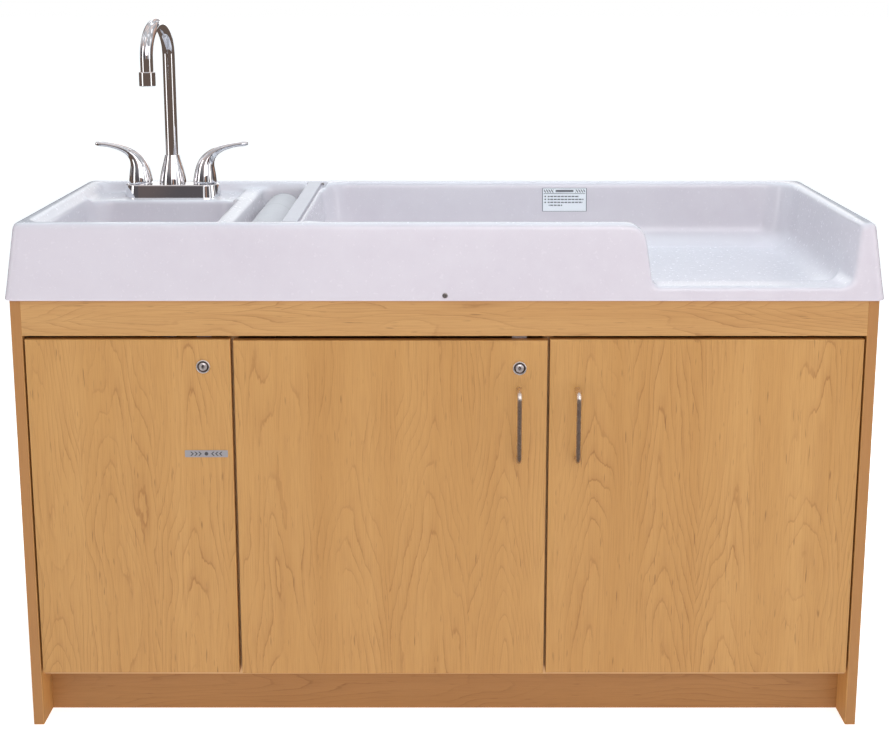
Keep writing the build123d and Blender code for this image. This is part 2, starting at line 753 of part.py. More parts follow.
with BuildPart() as slip_nuts:
    slip_nut(drain_y, drain_tube_low, drain_tube_r, 29, True)
    slip_nut(drain_y, trap_inlet_z, trap_r, 26, False)
    slip_nut(outlet_y, trap_outlet_z, trap_r, 26, False)
save(slip_nuts, "slip_nuts")


# ---------------------------------------------------------------- paper roll and hold-down bar
def roll_end(y):
    """Plane square to the roll's axis at y, its normal towards the back."""
    return facing_back(roll_x, y, roll_z)


roll_length = roll_y[1] - roll_y[0]
with BuildPart() as paper_roll:
    disc(roll_end(roll_y[0]), roll_r, roll_length)
    fillet(paper_roll.edges(), radius=1)
    disc(roll_end(roll_y[0]), core_r, roll_length, mode=Mode.SUBTRACT)
save(paper_roll, "paper_roll")

with BuildPart() as roll_core:
    disc(roll_end(roll_y[0] - 1), core_r, roll_length + 2)
    disc(roll_end(roll_y[0] - 1), core_r - 1.5, roll_length + 2, mode=Mode.SUBTRACT)
save(roll_core, "roll_core")

with BuildPart() as roll_spindle:
    disc(roll_end(spindle_y[0]), spindle_r, spindle_y[1] - spindle_y[0])
    disc(roll_end(roll_y[0]), core_r - 1.5, 12)
    disc(roll_end(roll_y[1] - 12), core_r - 1.5, 12)
save(roll_spindle, "roll_spindle")


def channel_wall(rim_y, inward, z):
    """Y of a channel end wall at height z, with a hair of clearance."""
    return rim_y + inward * ((rim_z - z) * tan(radians(wall_lean_deg)) + 0.2)


with BuildPart() as spindle_brackets:
    for wall_y, inward, face_y in (
        (well_y[0] + ledge, 1, -217.0),
        (well_y[1] - ledge, -1, 240.0),
    ):
        with BuildSketch(Plane.YZ.offset(roll_x - 13)):
            with BuildLine():
                Polyline(
                    (channel_wall(wall_y, inward, bracket_z[0]), bracket_z[0]),
                    (channel_wall(wall_y, inward, bracket_z[1]), bracket_z[1]),
                    (face_y, bracket_z[1]),
                    (face_y, bracket_z[0]),
                    close=True,
                )
            make_face()
        extrude(amount=26)
    block(
        (roll_x - spindle_r - running_gap, roll_x + spindle_r + running_gap),
        (spindle_y[0] - 20, spindle_y[1] + 20),
        (roll_z, bracket_z[1] + 1),
        mode=Mode.SUBTRACT,
    )
    disc(roll_end(spindle_y[0] - 20), spindle_r + running_gap, 540, mode=Mode.SUBTRACT)
save(spindle_brackets, "spindle_brackets")

with BuildPart() as hold_down_bar:
    pivot_z = bar_z + bar_t / 2
    with BuildSketch(Plane.YZ.offset(bar_x - bar_width / 2)):
        with BuildLine():
            Line((bar_y[0], bar_z), (bar_y[1], bar_z))
            ThreePointArc((bar_y[1], bar_z), (bar_y[1] + bar_t / 2, pivot_z), (bar_y[1], bar_z + bar_t))
            Line((bar_y[1], bar_z + bar_t), (bar_y[0], bar_z + bar_t))
            Line((bar_y[0], bar_z + bar_t), (bar_y[0], bar_z))
        make_face()
    extrude(amount=bar_width)
    fillet(hold_down_bar.edges().filter_by(Axis.Y).group_by(Axis.Z)[-1], radius=2)
    pin_hole = Plane((bar_x - 20, bar_y[1], pivot_z), z_dir=(1, 0, 0))
    disc(pin_hole, bar_pin_r + running_gap, 40, mode=Mode.SUBTRACT)
save(hold_down_bar, "hold_down_bar")

with BuildPart() as bar_pin:
    disc(Plane((bar_x - 19, bar_y[1], bar_z + bar_t / 2), z_dir=(1, 0, 0)), bar_pin_r, 38)
save(bar_pin, "bar_pin")
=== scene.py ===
import math

import bmesh
import bpy
from mathutils import Matrix, Vector


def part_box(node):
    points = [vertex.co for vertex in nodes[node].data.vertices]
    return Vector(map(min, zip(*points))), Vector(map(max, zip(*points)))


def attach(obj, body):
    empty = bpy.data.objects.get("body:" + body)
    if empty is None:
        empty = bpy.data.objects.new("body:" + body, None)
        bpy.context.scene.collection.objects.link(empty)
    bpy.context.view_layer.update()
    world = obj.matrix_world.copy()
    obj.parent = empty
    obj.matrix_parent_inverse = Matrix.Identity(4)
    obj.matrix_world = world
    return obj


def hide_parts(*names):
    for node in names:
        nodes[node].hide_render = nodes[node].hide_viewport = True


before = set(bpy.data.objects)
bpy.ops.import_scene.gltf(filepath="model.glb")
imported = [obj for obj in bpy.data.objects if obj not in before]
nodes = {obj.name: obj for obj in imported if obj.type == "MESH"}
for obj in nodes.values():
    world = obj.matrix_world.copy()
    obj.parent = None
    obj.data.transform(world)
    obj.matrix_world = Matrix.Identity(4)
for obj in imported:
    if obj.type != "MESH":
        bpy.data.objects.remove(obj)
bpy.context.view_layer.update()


# ---------------------------------------------------------------- camera
camera_place = (0.0, -2.779, 1.359)
camera_dip = math.radians(11.0)      # how far it looks down

camera_data = bpy.data.cameras.new("camera")
camera_data.sensor_width = 36.0
camera_data.lens = 58.6
camera_data.shift_y = -0.125
camera = bpy.data.objects.new("camera", camera_data)
camera.location = camera_place
camera.rotation_euler = (math.pi / 2 - camera_dip, 0, 0)
bpy.context.scene.collection.objects.link(camera)
bpy.context.scene.camera = camera


# ---------------------------------------------------------------- light and world
def softbox(name, place, target, width, height, power, colour=(1, 1, 1), mirrored=True):
    """Rectangular area light that looks at a target point."""
    data = bpy.data.lights.new(name, "AREA")
    data.shape = "RECTANGLE"
    data.size, data.size_y = width, height
    data.energy = power
    data.color = colour
    light = bpy.data.objects.new(name, data)
    light.location = place
    way = Vector(target) - Vector(place)
    light.rotation_euler = way.to_track_quat("-Z", "Y").to_euler()
    light.visible_camera = False
    light.visible_glossy = mirrored
    bpy.context.scene.collection.objects.link(light)


softbox("front_key", (0.6, -3.0, 2.4), (0, 0, 0.6), 2.6, 1.6, 31, (1.0, 0.92, 0.94))
softbox("overhead", (0.25, 0.1, 3.3), (0.1, 0.1, 0.8), 2.2, 1.5, 55, (0.79, 0.95, 1.0), False)
softbox("left_fill", (-3.4, -1.6, 1.7), (0, 0, 0.7), 0.9, 2.4, 14)
softbox("right_fill", (3.4, -1.6, 1.7), (0, 0, 0.7), 0.9, 2.4, 14)
softbox("back_fill", (0.0, 3.2, 1.9), (0, 0, 0.6), 3.0, 1.4, 14)

scene = bpy.context.scene
scene.view_settings.view_transform = "Standard"
scene.world = bpy.data.worlds.new("studio")
scene.world.use_nodes = True


def by_ray(tree, ray, otherwise, shader):
    """One shader for rays of a kind, such as "Is Glossy Ray", and another for the rest."""
    kinds = tree.nodes.new("ShaderNodeLightPath")
    choice = tree.nodes.new("ShaderNodeMixShader")
    tree.links.new(kinds.outputs[ray], choice.inputs[0])
    tree.links.new(otherwise, choice.inputs[1])
    tree.links.new(shader, choice.inputs[2])
    return choice.outputs[0]


def glow(tree, colour, strength, kind="ShaderNodeBackground"):
    """Background or emission shader of one colour."""
    node = tree.nodes.new(kind)
    node.inputs["Color"].default_value = colour
    node.inputs["Strength"].default_value = strength
    return node


def build_sky():
    """White to the camera, soft blue-white as light, and a dim room in mirror-like surfaces."""
    tree = scene.world.node_tree
    tree.nodes.clear()
    light = glow(tree, (0.72, 0.91, 1.0, 1), 0.32)
    mirrored = glow(tree, (1, 1, 1, 1), 1.0)
    seen = glow(tree, (1, 1, 1, 1), 1.0)
    way = tree.nodes.new("ShaderNodeTexCoord").outputs["Generated"]

    # dark towards the floor, lighter towards the ceiling
    height = tree.nodes.new("ShaderNodeSeparateXYZ")
    tree.links.new(way, height.inputs[0])
    room = tree.nodes.new("ShaderNodeValToRGB")
    stops = ((0.0, (0.09, 0.08, 0.08, 1)), (0.20, (0.12, 0.11, 0.12, 1)),
             (0.42, (0.36, 0.36, 0.38, 1)), (0.85, (0.60, 0.61, 0.64, 1)))
    for place, colour in stops[2:]:
        room.color_ramp.elements.new(place).color = colour
    for element, (place, colour) in zip(room.color_ramp.elements, stops):
        element.position = place
        element.color = colour
    tree.links.new(height.outputs["Z"], room.inputs[0])

    # upright patches of brown and white, as furniture and windows give
    stretch = tree.nodes.new("ShaderNodeMapping")
    stretch.inputs["Scale"].default_value = (3.4, 3.4, 0.9)
    tree.links.new(way, stretch.inputs["Vector"])
    patches = tree.nodes.new("ShaderNodeTexNoise")
    patches.inputs["Scale"].default_value = 1.0
    patches.inputs["Detail"].default_value = 1.0
    tree.links.new(stretch.outputs[0], patches.inputs["Vector"])
    tint = tree.nodes.new("ShaderNodeValToRGB")
    tint.color_ramp.elements[0].position = 0.40
    tint.color_ramp.elements[0].color = (0.34, 0.17, 0.09, 1)
    tint.color_ramp.elements[1].position = 0.66
    tint.color_ramp.elements[1].color = (0.95, 0.95, 0.97, 1)
    for place, level in ((0.46, 0.0), (0.61, 0.0)):
        tint.color_ramp.elements.new(place).color = (level, level, level, 1)
    tree.links.new(patches.outputs["Fac"], tint.inputs[0])
    total = tree.nodes.new("ShaderNodeMix")
    total.data_type = "RGBA"
    total.blend_type = "ADD"
    total.inputs[0].default_value = 1.0
    tree.links.new(room.outputs[0], total.inputs[6])
    tree.links.new(tint.outputs[0], total.inputs[7])
    tree.links.new(total.outputs[2], mirrored.inputs["Color"])
    out = tree.nodes.new("ShaderNodeOutputWorld")
    unseen = by_ray(tree, "Is Glossy Ray", light.outputs[0], mirrored.outputs[0])
    tree.links.new(by_ray(tree, "Is Camera Ray", unseen, seen.outputs[0]), out.inputs[0])


build_sky()


# ---------------------------------------------------------------- material building
def srgb(red, green, blue):
    """Linear colour of an 8-bit screen colour."""
    def linear(value):
        value = value / 255
        return value / 12.92 if value <= 0.04045 else ((value + 0.055) / 1.055) ** 2.4
    return (linear(red), linear(green), linear(blue), 1.0)


class Graph:
    """A material's node tree and the few kinds of node that the finishes need."""

    def __init__(self, name):
        self.material = bpy.data.materials.new(name)
        self.material.use_nodes = True
        self.tree = self.material.node_tree
        self.tree.nodes.clear()
        self.shader = self.tree.nodes.new("ShaderNodeBsdfPrincipled")
        self.out = self.tree.nodes.new("ShaderNodeOutputMaterial")
        self.link(self.shader.outputs[0], self.out.inputs["Surface"])
        self.place = self.tree.nodes.new("ShaderNodeTexCoord").outputs["Object"]

    def link(self, source, target):
        self.tree.links.new(source, target)

    def feed(self, target, value):
        """Connect a socket, or set a number or colour."""
        if isinstance(value, bpy.types.NodeSocket):
            self.link(value, target)
        else:
            target.default_value = value

    def math(self, operation, first, second=0.0):
        node = self.tree.nodes.new("ShaderNodeMath")
        node.operation = operation
        self.feed(node.inputs[0], first)
        self.feed(node.inputs[1], second)
        return node.outputs[0]

    def plus(self, first, second):
        return self.math("ADD", first, second)

    def minus(self, first, second):
        return self.math("SUBTRACT", first, second)

    def times(self, first, second):
        return self.math("MULTIPLY", first, second)

    def axes(self, vector):
        """The x, y and z sockets of a vector."""
        node = self.tree.nodes.new("ShaderNodeSeparateXYZ")
        self.link(vector, node.inputs[0])
        return node.outputs[0], node.outputs[1], node.outputs[2]

    def vector(self, x, y, z=0.0):
        node = self.tree.nodes.new("ShaderNodeCombineXYZ")
        for socket, value in zip(node.inputs, (x, y, z)):
            self.feed(socket, value)
        return node.outputs[0]

    def moved(self, vector, scale, shift=(0, 0, 0)):
        """The vector scaled and then shifted."""
        node = self.tree.nodes.new("ShaderNodeMapping")
        self.link(vector, node.inputs["Vector"])
        node.inputs["Scale"].default_value = scale
        node.inputs["Location"].default_value = shift
        return node.outputs[0]

    def noise(self, vector, scale, detail=2.0, rough=0.5, distortion=0.0):
        node = self.tree.nodes.new("ShaderNodeTexNoise")
        self.link(vector, node.inputs["Vector"])
        node.inputs["Scale"].default_value = scale
        node.inputs["Detail"].default_value = detail
        node.inputs["Roughness"].default_value = rough
        node.inputs["Distortion"].default_value = distortion
        return node.outputs["Fac"]

    def ramp(self, value, *stops):
        """Grey level through (position, level) stops."""
        node = self.tree.nodes.new("ShaderNodeValToRGB")
        self.link(value, node.inputs[0])
        ramp = node.color_ramp
        while len(ramp.elements) < len(stops):
            ramp.elements.new(0.5)
        for element, (position, level) in zip(ramp.elements, stops):
            element.position = position
            element.color = (level, level, level, 1)
        return node.outputs[0]

    def mix(self, amount, first, second):
        """Blend of two colours."""
        node = self.tree.nodes.new("ShaderNodeMix")
        node.data_type = "RGBA"
        for place, value in ((0, amount), (6, first), (7, second)):
            self.feed(node.inputs[place], value)
        return node.outputs[2]

    def bump(self, height, strength, depth, before=None):
        node = self.tree.nodes.new("ShaderNodeBump")
        node.inputs["Strength"].default_value = strength
        node.inputs["Distance"].default_value = depth
        self.link(height, node.inputs["Height"])
        if before is not None:
            self.link(before, node.inputs["Normal"])
        return node.outputs[0]

    def finish(self, colour, roughness, normal=None, **settings):
        """Feed the shader. Settings are the shader's own uniform values."""
        self.feed(self.shader.inputs["Base Color"], colour)
        self.feed(self.shader.inputs["Roughness"], roughness)
        if normal is not None:
            self.link(normal, self.shader.inputs["Normal"])
        for name, value in settings.items():
            self.shader.inputs[name.replace("_", " ")].default_value = value
        return self.material


def maple(name, tones, seed, upright=True, edge_tone=None, contrast=1.0, leaf_width=0.135):
    """Maple veneer: nested cathedral lines, soft bands, fine fibres and short dark flecks."""
    g = Graph(name)
    light, dark, line_tone = tones
    x, y, z = g.axes(g.place)
    across = g.plus(x, y) if upright else g.plus(z, y)
    along = z if upright else x
    grain = g.vector(across, along, seed)

    # leaves of veneer side by side, each with its own nest of pointed lines
    sway = g.noise(g.moved(grain, (1.6, 1.1, 1), (4, 2, 7)), 1.0, 2.0)
    leaf = g.times(g.plus(across, g.times(sway, 0.09)), 1 / leaf_width)
    leaf = g.plus(leaf, seed * 0.37)
    number = g.math("FLOOR", leaf)
    side = g.math("ABSOLUTE", g.minus(g.math("FRACT", leaf), 0.5))
    flow = g.noise(g.moved(grain, (7.0, 1.5, 1), (seed * 3.7, seed * 1.9, 0)), 1.0, 2.0, 0.5, 0.3)
    jag = g.noise(g.moved(grain, (85, 15, 1)), 1.0, 3.0, 0.65)
    wobble = g.noise(g.moved(grain, (22, 4.0, 1), (9, 4, 2)), 1.0, 2.0, 0.5)
    level = g.times(along, 8.0)
    nest = g.math("POWER", side, 1.5)
    for field, weight in ((nest, 14.0), (number, 3.37), (flow, 15.0), (wobble, 1.6), (jag, 0.6)):
        level = g.plus(level, g.times(field, weight))
    ring = g.math("FRACT", level)
    ring_line = g.ramp(ring, (0.0, 0.9), (0.04, 0.85), (0.10, 0.30), (0.45, 0.06), (0.96, 0.0), (1.0, 0.7))
    patchy = g.ramp(g.noise(g.moved(grain, (14, 5, 1), (3, 8, 5)), 1.0, 2.0), (0.38, 0.08), (0.63, 1.0))
    ring_line = g.times(ring_line, patchy)

    band = g.ramp(g.noise(g.moved(grain, (11, 0.4, 1), (1, 7, seed)), 1.0, 2.5, 0.6), (0.3, 0.0), (0.7, 1.0))
    fibre = g.noise(g.moved(grain, (620, 14, 1)), 1.0, 3.0, 0.6)
    streak = g.noise(g.moved(grain, (150, 2.2, 1), (5, 5, seed)), 1.0, 3.0, 0.6)
    fleck_field = g.noise(g.moved(grain, (330, 26, 1), (2, 6, seed)), 1.0, 1.0, 0.4)
    fleck = g.ramp(fleck_field, (0.70, 0.0), (0.80, 1.0))
    mottle = g.noise(g.moved(grain, (30, 9, 1), (8, 1, seed)), 1.0, 3.0, 0.65)

    colour = g.mix(band, light, dark)
    for field, none_at, full_at, strength, tone in (
        (mottle, 0.30, 0.75, 0.16, dark),
        (streak, 0.42, 0.75, 0.50, dark),
        (fibre, 0.45, 0.80, 0.34, line_tone),
    ):
        shade = g.times(g.ramp(field, (none_at, 0.0), (full_at, 1.0)), strength * contrast)
        colour = g.mix(shade, colour, tone)
    colour = g.mix(g.times(ring_line, 0.68 * contrast), colour, line_tone)
    colour = g.mix(g.times(fleck, 0.55 * contrast), colour, fleck_colour)
    if edge_tone is not None:
        facing = g.tree.nodes.new("ShaderNodeTexCoord").outputs["Normal"]
        front = g.math("GREATER_THAN", g.math("ABSOLUTE", g.axes(facing)[1]), 0.8)
        edge = g.mix(g.times(fibre, 0.5), edge_tone, line_tone)
        colour = g.mix(front, colour, edge)
    rough = g.plus(0.36, g.times(fibre, 0.14))
    height = g.plus(fibre, g.times(ring_line, -0.6))
    normal = g.bump(height, 0.16, 0.0002)
    return g.finish(colour, rough, normal, Coat_Weight=0.18, Coat_Roughness=0.25, IOR=1.46)


maple_tones = (srgb(213, 162, 96), srgb(199, 146, 80), srgb(158, 103, 50))
rail_tones = (srgb(213, 164, 102), srgb(199, 147, 86), srgb(164, 110, 58))
# the toe board's tones are a darker copy of the door maple: painted shade for its place recessed under the
# doors
toe_tones_painted_shade = (srgb(187, 137, 79), srgb(173, 123, 67), srgb(138, 91, 47))
edge_colour = srgb(190, 135, 77)
fleck_colour = srgb(128, 82, 44)


def board(name, tint, speck):
    """Plain melamine-faced board with a faint print."""
    g = Graph(name)
    grain = g.noise(g.moved(g.place, (3, 3, 60)), 1.0, 3.0, 0.6)
    fine = g.noise(g.place, 420.0, 2.0, 0.6)
    colour = g.mix(g.ramp(grain, (0.3, 0.0), (0.75, 1.0)), tint, speck)
    colour = g.mix(g.times(fine, 0.12), colour, speck)
    rough = g.plus(0.42, g.times(fine, 0.15))
    return g.finish(colour, rough, g.bump(fine, 0.15, 0.0001), IOR=1.46)


def moulded(name, tint, shade, rough, blotch=24.0, peel=0.05, coat=0.25):
    """Moulded plastic: soft blotches of tone, an orange-peel skin and fine scuffs."""
    g = Graph(name)
    cloud = g.noise(g.place, blotch, 4.0, 0.6)
    broad = g.noise(g.place, blotch / 6, 2.0, 0.5)
    skin = g.noise(g.place, 900.0, 2.0, 0.5)
    ripple = g.noise(g.place, 9.0, 1.0, 0.4)
    scuff = g.noise(g.place, 130.0, 3.0, 0.6)
    tone = g.times(cloud, g.ramp(broad, (0.3, 0.4), (0.7, 1.0)))
    colour = g.mix(g.ramp(tone, (0.2, 0.0), (0.62, 1.0)), tint, shade)
    roughness = g.plus(rough, g.times(g.ramp(scuff, (0.45, 0.0), (0.8, 1.0)), 0.06))
    normal = g.bump(ripple, 0.05, 0.001)
    normal = g.bump(skin, peel, 0.0001, normal)
    return g.finish(colour, roughness, normal, Coat_Weight=coat, Coat_Roughness=0.12, IOR=1.49)


def metal(name, tint, tarnish, rough, brushed=None, smudge=0.05):
    """Metal with smudges in its gloss, and brush lines along one axis where asked."""
    g = Graph(name)
    cloud = g.noise(g.place, 38.0, 4.0, 0.65)
    broad = g.noise(g.place, 11.0, 2.0, 0.5)
    roughness = g.plus(rough, g.times(g.ramp(cloud, (0.45, 0.0), (0.8, 1.0)), smudge))
    colour = g.mix(g.times(broad, 0.5), tint, tarnish)
    if brushed is not None:
        scale = [900.0, 900.0, 900.0]
        scale["xyz".index(brushed)] = 14.0
        lines = g.noise(g.moved(g.place, scale), 1.0, 3.0, 0.6)
        roughness = g.plus(roughness, g.times(lines, 0.10))
        colour = g.mix(g.times(lines, 0.35), colour, tarnish)
        normal = g.bump(lines, 0.12, 0.0001)
    else:
        grit = g.noise(g.place, 700.0, 2.0, 0.5)
        normal = g.bump(grit, 0.02, 0.0001)
    return g.finish(colour, roughness, normal, Metallic=1.0)


def paint(node, material):
    """Give every material slot of a CAD node or piece the same finish."""
    obj = nodes[node] if isinstance(node, str) else node
    if not obj.material_slots:
        obj.data.materials.append(material)
    for entry in obj.material_slots:
        entry.material = material


# ---------------------------------------------------------------- finishes
plain_board = board("melamine_board", srgb(222, 182, 130), srgb(212, 169, 116))
back_board = board("hardboard_back", srgb(203, 160, 110), srgb(187, 144, 96))
top_plastic = moulded("moulded_top_plastic", srgb(223, 215, 220), srgb(218, 209, 215), 0.24)
bar_plastic = moulded("bar_plastic_finish", srgb(192, 186, 194), srgb(183, 178, 187), 0.36, 60)
white_plastic = moulded("white_plastic_finish", srgb(232, 232, 230), srgb(222, 222, 219), 0.35, 60)
grey_plastic = moulded("grey_plastic_finish", srgb(150, 152, 156), srgb(134, 136, 141), 0.4, 60)
rubber = moulded("rubber_finish", srgb(38, 38, 40), srgb(30, 30, 31), 0.7, 90, 0.2, 0.0)
clear_bumper = moulded("clear_bumper_finish", srgb(214, 216, 214), srgb(200, 203, 201), 0.3, 90, 0.05, 0.3)
chrome = metal("chrome_plate", (0.82, 0.82, 0.83, 1), (0.72, 0.73, 0.76, 1), 0.035, None, 0.05)
nickel = metal("brushed_nickel", (0.84, 0.77, 0.71, 1), (0.64, 0.57, 0.52, 1), 0.22, "z")
zinc = metal("zinc_plated_steel", (0.62, 0.62, 0.63, 1), (0.46, 0.47, 0.49, 1), 0.3, None, 0.2)
brass = metal("brass_finish", (0.75, 0.55, 0.26, 1), (0.58, 0.40, 0.18, 1), 0.28, None, 0.15)
drain_steel = metal("drain_steel_finish", (0.70, 0.70, 0.70, 1), (0.55, 0.55, 0.56, 1), 0.2, None, 0.12)
dark_steel = metal("screw_steel", (0.30, 0.28, 0.27, 1), (0.20, 0.19, 0.18, 1), 0.32, None, 0.2)


def paper_finish():
    """Soft embossed tissue: a quilted dot pattern, fibres and a painted shadow line at the sheet's torn end.
    """
    g = Graph("paper_finish")
    fibres = g.noise(g.place, 800.0, 3.0, 0.7)
    cloud = g.noise(g.place, 40.0, 3.0, 0.5)
    dots = g.tree.nodes.new("ShaderNodeTexVoronoi")
    dots.inputs["Scale"].default_value = 190.0
    g.link(g.place, dots.inputs["Vector"])
    emboss = g.ramp(dots.outputs["Distance"], (0.15, 1.0), (0.6, 0.0))
    colour = g.mix(cloud, srgb(214, 204, 206), srgb(203, 194, 197))

    # the torn end of the sheet lies a little askew across the roll; the darker line along it is painted
    # shadow under the sheet's edge
    x, y, _ = g.axes(g.place)
    from_edge = g.math("ABSOLUTE", g.plus(g.plus(y, g.times(x, 0.35)), 0.04))
    torn_edge_shadow = g.ramp(g.times(from_edge, 100.0), (0.0, 1.0), (0.12, 0.6), (0.32, 0.0))
    colour = g.mix(g.times(torn_edge_shadow, 0.55), colour, srgb(168, 158, 158))
    normal = g.bump(emboss, 0.35, 0.0006)
    normal = g.bump(fibres, 0.25, 0.0003, normal)
    rough = g.plus(0.82, g.times(fibres, 0.12))
    return g.finish(colour, rough, normal, Sheen_Weight=0.15, IOR=1.45)


def cardboard_finish():
    """Grey-brown board with fibres that run round the tube."""
    g = Graph("cardboard_finish")
    fibres = g.noise(g.moved(g.place, (500, 90, 500)), 1.0, 4.0, 0.7)
    colour = g.mix(fibres, srgb(176, 140, 100), srgb(150, 115, 80))
    return g.finish(colour, g.plus(0.7, g.times(fibres, 0.2)), g.bump(fibres, 0.3, 0.0003))


paper = paper_finish()
cardboard = cardboard_finish()


class Face:
    """Flat coordinates across a small printed label: u and v run from -1 to 1 over its face."""

    def __init__(self, graph, node, across, up):
        low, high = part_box(node)
        place = graph.axes(graph.place)
        self.graph = graph
        self.u = self.spread(place[across], low[across], high[across])
        self.v = self.spread(place[up], low[up], high[up])

    def spread(self, value, low, high):
        centred = self.graph.minus(value, (low + high) / 2)
        return self.graph.times(centred, 2 / (high - low))

    def near(self, value, centre, half):
        """1 where value is within half of centre."""
        gap = self.graph.math("ABSOLUTE", self.graph.minus(value, centre))
        return self.graph.math("LESS_THAN", gap, half)

    def bar(self, centre_u, centre_v, half_u, half_v):
        """1 inside a rectangle."""
        return self.graph.times(self.near(self.u, centre_u, half_u), self.near(self.v, centre_v, half_v))

    def merge(self, *marks):
        """1 where any of the marks is."""
        total = marks[0]
        for mark in marks[1:]:
            total = self.graph.math("MAXIMUM", total, mark)
        return total


def push_label_finish():
    """Grey plate with a dark dot between two chevrons that point at it."""
    g = Graph("push_label_finish")
    face = Face(g, "push_label", 0, 2)
    low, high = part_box("push_label")
    aspect = (high.x - low.x) / (high.z - low.z)
    wide = g.times(face.u, aspect)
    rise = g.math("ABSOLUTE", face.v)
    radius = g.math("SQRT", g.plus(g.times(wide, wide), g.times(face.v, face.v)))
    marks = [g.math("LESS_THAN", radius, 0.52)]
    slant = g.minus(g.math("ABSOLUTE", wide), rise)
    in_band = g.math("LESS_THAN", rise, 0.58)
    for centre in (1.5, 2.6, 3.7):
        marks.append(g.times(face.near(slant, centre, 0.2), in_band))
    ink = face.merge(*marks)
    grit = g.noise(g.place, 1500.0, 2.0, 0.6)
    ground = g.mix(grit, srgb(168, 164, 164), srgb(150, 146, 147))
    colour = g.mix(g.times(ink, 0.9), ground, srgb(58, 54, 56))
    rough = g.plus(0.34, g.times(grit, 0.1))
    return g.finish(colour, rough, g.bump(grit, 0.08, 0.0001), Coat_Weight=0.3, Coat_Roughness=0.1)


def wall_label_finish():
    """White sticker with hatched corners, a heading bar and rows of short grey bars."""
    g = Graph("wall_label_finish")
    face = Face(g, "wall_label", 0, 2)
    slant = g.math("FRACT", g.plus(g.times(face.u, 9.0), g.times(face.v, 3.0)))
    hatch = g.math("LESS_THAN", slant, 0.5)
    in_corner = face.merge(face.bar(-0.70, 0.74, 0.22, 0.13), face.bar(0.70, 0.74, 0.22, 0.13))
    marks = [g.times(hatch, in_corner), face.bar(0, 0.74, 0.40, 0.10)]
    marks.append(face.bar(0, 0.52, 0.93, 0.025))
    dash = g.math("LESS_THAN", g.math("FRACT", g.times(face.u, 6.3)), 0.82)
    first_row, row_pitch = 0.28, 0.25
    for row, (middle_u, half_u) in enumerate(((-0.05, 0.70), (0.05, 0.80), (0.03, 0.78), (-0.40, 0.30))):
        rows = face.bar(middle_u, first_row - row_pitch * row, half_u, 0.055)
        marks.append(g.times(rows, dash))
    for row in range(3):
        marks.append(face.bar(-0.86, first_row - row_pitch * row, 0.035, 0.06))
    outward = g.math("MAXIMUM", g.math("ABSOLUTE", face.u), g.math("ABSOLUTE", face.v))
    border = g.math("GREATER_THAN", outward, 0.965)
    ink = face.merge(*marks, border)
    fine = g.noise(g.place, 900.0, 2.0)
    ground = g.mix(fine, srgb(246, 247, 249), srgb(238, 239, 243))
    colour = g.mix(g.times(ink, 0.82), ground, srgb(48, 48, 58))
    rough = g.plus(0.25, g.times(fine, 0.1))
    return g.finish(colour, rough, g.bump(fine, 0.04, 0.0001), Coat_Weight=0.4, Coat_Roughness=0.08)


def lock_face_with_painted_shade(side):
    """Plated lock face: bright bezel with its outer edge darkened as painted shade, groove painted dark as
    shade, slightly domed plug with a key slot painted dark as shade.
    """
    g = Graph(f"{side}_lock_face_with_painted_shade")
    low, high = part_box(f"{side}_lock_housing")
    x, _, z = g.axes(g.place)
    across = g.minus(x, (low.x + high.x) / 2)
    up = g.minus(z, (low.z + high.z) / 2)
    square = g.plus(g.times(across, across), g.times(up, up))
    reach = g.times(g.math("SQRT", square), 2 / (high.x - low.x))
    plate_or_painted_shade = g.ramp(
        reach,
        (0.0, 0.0), (0.16, 0.1), (0.26, 1.0), (0.52, 1.0),      # key slot painted dark as shade, then plug
        (0.60, 0.0), (0.74, 0.0),                               # groove painted dark as shade
        (0.80, 1.0), (0.95, 1.0), (1.0, 0.3),                   # bezel, its outer edge darkened as painted shade
    )
    crown = g.ramp(
        reach,
        (0.0, 1.0), (0.35, 0.9), (0.56, 0.5),
        (0.66, 0.0), (0.76, 0.2),
        (0.86, 0.8), (1.0, 0.4),
    )
    grit = g.noise(g.place, 500.0, 2.0, 0.5)
    # the dark colour is painted shade in the key slot, the groove and at the bezel's edge; the light one is
    # the plating
    colour = g.mix(plate_or_painted_shade, (0.10, 0.065, 0.055, 1), (0.93, 0.88, 0.86, 1))
    rough = g.plus(0.24, g.times(grit, 0.1))
    return g.finish(colour, rough, g.bump(crown, 1.0, 0.0022), Metallic=0.75)


label_grey = push_label_finish()
label_white = wall_label_finish()

finishes = {
    plain_board: ("left_partition", "right_partition", "bottom_panel", "middle_shelf", "right_shelf",
                  "rear_rail", "support_deck"),
    back_board: ("back_panel",),
    zinc: ("shelf_pins", "hinge_arms", "left_hinge_cups", "middle_hinge_cups", "right_hinge_cups",
           "left_lock_cam", "middle_lock_cam", "lock_strikes", "latch_strike", "middle_pull_screws",
           "right_pull_screws"),
    clear_bumper: ("door_bumpers",),
    lock_face_with_painted_shade("left"): ("left_lock_housing", "left_lock_plug"),
    lock_face_with_painted_shade("middle"): ("middle_lock_housing", "middle_lock_plug"),
    nickel: ("middle_pull", "right_pull"),
    label_grey: ("push_label",),
    label_white: ("wall_label",),
    grey_plastic: ("latch_body", "latch_plunger"),
    chrome: ("faucet_base", "spout_hub", "spout", "aerator", "hot_handle", "cold_handle"),
    brass: ("faucet_shanks", "shank_nuts"),
    drain_steel: ("drain_body",),
    rubber: ("drain_washer",),
    white_plastic: ("drain_nut", "tailpiece", "trap_bend", "trap_arm", "slip_nuts", "roll_spindle",
                    "spindle_brackets"),
    cardboard: ("roll_core",),
    bar_plastic: ("hold_down_bar",),
    dark_steel: ("bar_pin",),
}
for material, names in finishes.items():
    for node in names:
        paint(node, material)

